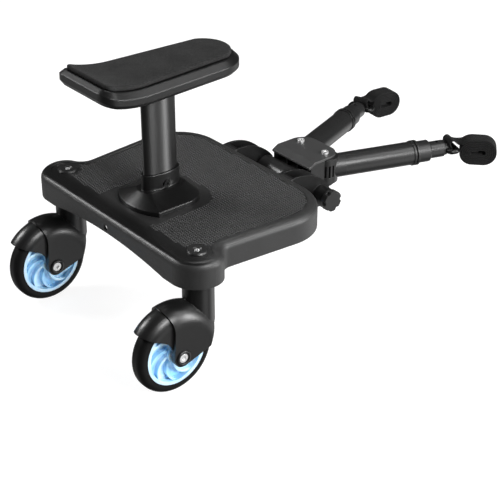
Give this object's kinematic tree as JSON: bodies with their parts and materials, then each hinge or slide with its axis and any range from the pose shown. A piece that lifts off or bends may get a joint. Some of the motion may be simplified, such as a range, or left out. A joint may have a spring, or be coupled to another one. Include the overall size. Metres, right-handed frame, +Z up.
{
  "type": "buggy board",
  "caption": "Ride-on board for the back of a stroller: textured deck on swivel casters, saddle seat on a post, and folding telescopic arms with rolled straps.",
  "frame": {"origin": "on the floor, under the middle of the whole board", "axes": "+Z up, +Y towards the stroller along the arms, +X to the right when looking along +Y"},
  "size_m": [0.38, 0.7105, 0.4025],
  "materials": {
    "black_plastic": "satin moulded",
    "foam": "fine-grained foam",
    "black_tube": "satin black coat",
    "black_plate": "satin black coat",
    "bright_steel": "bright zinc",
    "bush_plastic": "plain",
    "tyre": "matte",
    "blue_hub": "clear pale blue",
    "ring_metal": "satin black coat",
    "webbing": "ribbed webbing"
  },
  "bodies": {
    "board": {"deck": "black_plastic", "deck_skirt": "black_plastic", "left_swivel_boss": "black_plastic", "right_swivel_boss": "black_plastic", "deck_stiffeners": "black_plastic", "seat_base": "black_plastic", "seat_post": "black_tube", "seat_base_screws": "bright_steel", "lower_cross_bolt": "bright_steel", "lower_cross_nut": "bright_steel", "upper_cross_bolt": "bright_steel", "upper_cross_nut": "bright_steel", "seat_shell": "black_plastic", "seat_pad": "foam", "hinge_bolt": "bright_steel", "hinge_washers": "bush_plastic", "left_swivel_cap": "black_plastic", "left_swivel_bush": "bush_plastic", "left_thrust_washer": "bush_plastic", "right_swivel_cap": "black_plastic", "right_swivel_bush": "bush_plastic", "right_thrust_washer": "bush_plastic"},
    "clamp_knob": {"clamp_knob": "black_plastic"},
    "arm_bracket": {"arm_bracket": "black_plastic", "bracket_plate": "black_plate", "pivot_screws": "bright_steel", "pivot_nuts": "bright_steel"},
    "left_caster": {"left_caster_fork": "black_plastic", "left_kingpin": "bright_steel", "left_axle_bolt": "bright_steel", "left_axle_nut": "bright_steel"},
    "left_wheel": {"left_tyre": "tyre", "left_hub": "blue_hub", "left_bearings": "bright_steel", "left_bearing_spacer": "bright_steel"},
    "left_arm": {"left_arm_root": "black_plastic", "left_outer_tube": "black_tube", "left_arm_collar": "black_plastic"},
    "left_extension": {"left_inner_tube": "black_tube", "left_strap_ring": "ring_metal", "left_strap": "webbing"},
    "right_caster": {"right_caster_fork": "black_plastic", "right_kingpin": "bright_steel", "right_axle_bolt": "bright_steel", "right_axle_nut": "bright_steel"},
    "right_wheel": {"right_tyre": "tyre", "right_hub": "blue_hub", "right_bearings": "bright_steel", "right_bearing_spacer": "bright_steel"},
    "right_arm": {"right_arm_root": "black_plastic", "right_outer_tube": "black_tube", "right_arm_collar": "black_plastic"},
    "right_extension": {"right_inner_tube": "black_tube", "right_strap_ring": "ring_metal", "right_strap": "webbing"}
  },
  "joints": [
    {"name": "left_swivel", "type": "hinge", "parent": "board", "child": "left_caster", "pos_m": [-0.152, -0.246, 0.16], "axis": [0, 0, 1], "continuous": true},
    {"name": "left_wheel_spin", "type": "hinge", "parent": "left_caster", "child": "left_wheel", "pos_m": [-0.152, -0.292, 0.06], "axis": [1, 0, 0], "continuous": true},
    {"name": "right_swivel", "type": "hinge", "parent": "board", "child": "right_caster", "pos_m": [0.152, -0.246, 0.16], "axis": [0, 0, 1], "continuous": true},
    {"name": "right_wheel_spin", "type": "hinge", "parent": "right_caster", "child": "right_wheel", "pos_m": [0.152, -0.292, 0.06], "axis": [1, 0, 0], "continuous": true},
    {"name": "bracket_fold", "type": "hinge", "parent": "board", "child": "arm_bracket", "pos_m": [0, 0.035, 0.1515], "axis": [1, 0, 0], "range_deg": [-20, 90]},
    {"name": "knob_turn", "type": "hinge", "parent": "board", "child": "clamp_knob", "pos_m": [0.1, 0.035, 0.1515], "axis": [1, 0, 0], "range_deg": [0, 180]},
    {"name": "left_arm_splay", "type": "hinge", "parent": "arm_bracket", "child": "left_arm", "pos_m": [-0.027, 0.09, 0.159], "axis": [0, 0, 1], "range_deg": [-20, 25]},
    {"name": "left_arm_reach", "type": "slide", "parent": "left_arm", "child": "left_extension", "axis": [-0.342, 0.9397, 0], "range_m": [0, 0.07]},
    {"name": "right_arm_splay", "type": "hinge", "parent": "arm_bracket", "child": "right_arm", "pos_m": [0.027, 0.09, 0.159], "axis": [0, 0, -1], "range_deg": [-20, 25]},
    {"name": "right_arm_reach", "type": "slide", "parent": "right_arm", "child": "right_extension", "axis": [0.342, 0.9397, 0], "range_m": [0, 0.07]}
  ]
}
